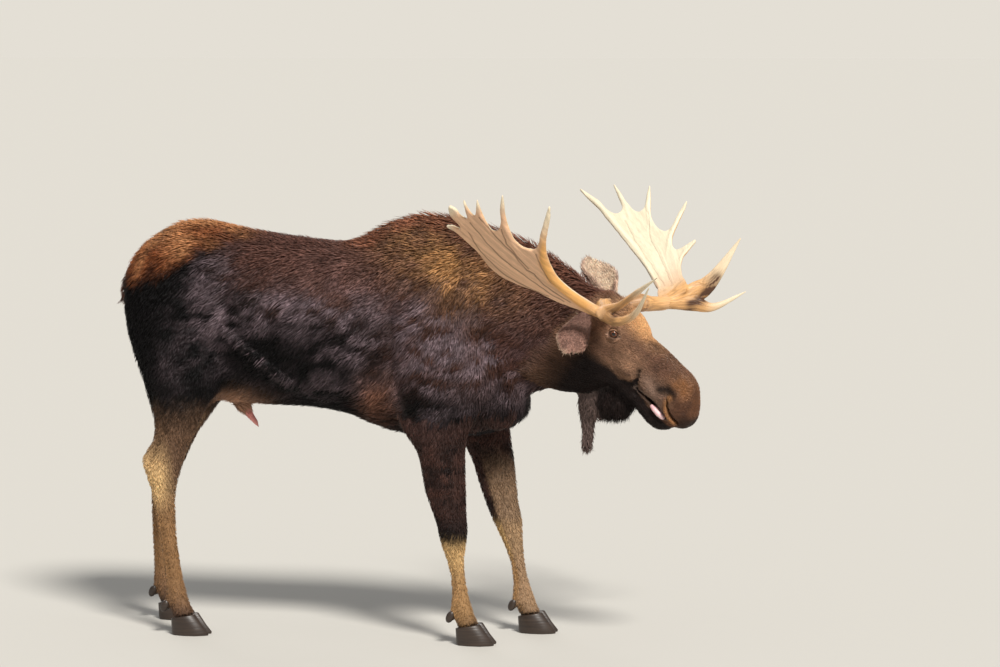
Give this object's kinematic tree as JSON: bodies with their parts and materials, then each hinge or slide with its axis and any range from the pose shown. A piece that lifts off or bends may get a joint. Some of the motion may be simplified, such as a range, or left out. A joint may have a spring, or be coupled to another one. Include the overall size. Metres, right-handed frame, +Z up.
{
  "type": "bull moose figure",
  "caption": "Life-size still figure of a standing bull moose with lowered, turned head, palmate antlers, throat bell and cloven hooves, for display as a museum-style animal mount.",
  "frame": {"origin": "centre of the bounding box at floor level, between the four feet", "axes": "+X towards the muzzle along the body, +Y to the animal's left, +Z up"},
  "size_m": [2.7672, 1.207, 1.9588],
  "materials": {
    "dark_coat": "long dark brown winter coat, nearly black on the flanks",
    "brown_coat": "short grizzled grey-brown coat of the head and ears",
    "pale_leg_coat": "short coat of the legs, dark above and pale tan below",
    "antler_bone": "dry grooved antler, ivory to brown",
    "hoof_horn": "dark smooth horn",
    "eye": "wet dark brown eyeball",
    "pink_skin": "bare pink skin of tongue and sheath"
  },
  "bodies": {
    "root": {"dewlap": "dark_coat", "head": "brown_coat", "left_antler_beam": "antler_bone", "left_antler_brow": "antler_bone", "left_antler_palm": "antler_bone", "left_ear": "brown_coat", "left_eye": "eye", "left_fore_hoof_inner": "hoof_horn", "left_fore_hoof_outer": "hoof_horn", "left_foreleg": "pale_leg_coat", "left_hind_hoof_inner": "hoof_horn", "left_hind_hoof_outer": "hoof_horn", "left_hindleg": "pale_leg_coat", "neck": "dark_coat", "right_antler_beam": "antler_bone", "right_antler_brow": "antler_bone", "right_antler_palm": "antler_bone", "right_ear": "brown_coat", "right_eye": "eye", "right_fore_hoof_inner": "hoof_horn", "right_fore_hoof_outer": "hoof_horn", "right_foreleg": "pale_leg_coat", "right_hind_hoof_inner": "hoof_horn", "right_hind_hoof_outer": "hoof_horn", "right_hindleg": "pale_leg_coat", "sheath": "pink_skin", "tail": "dark_coat", "tongue": "pink_skin", "trunk": "dark_coat"}
  },
  "joints": []
}
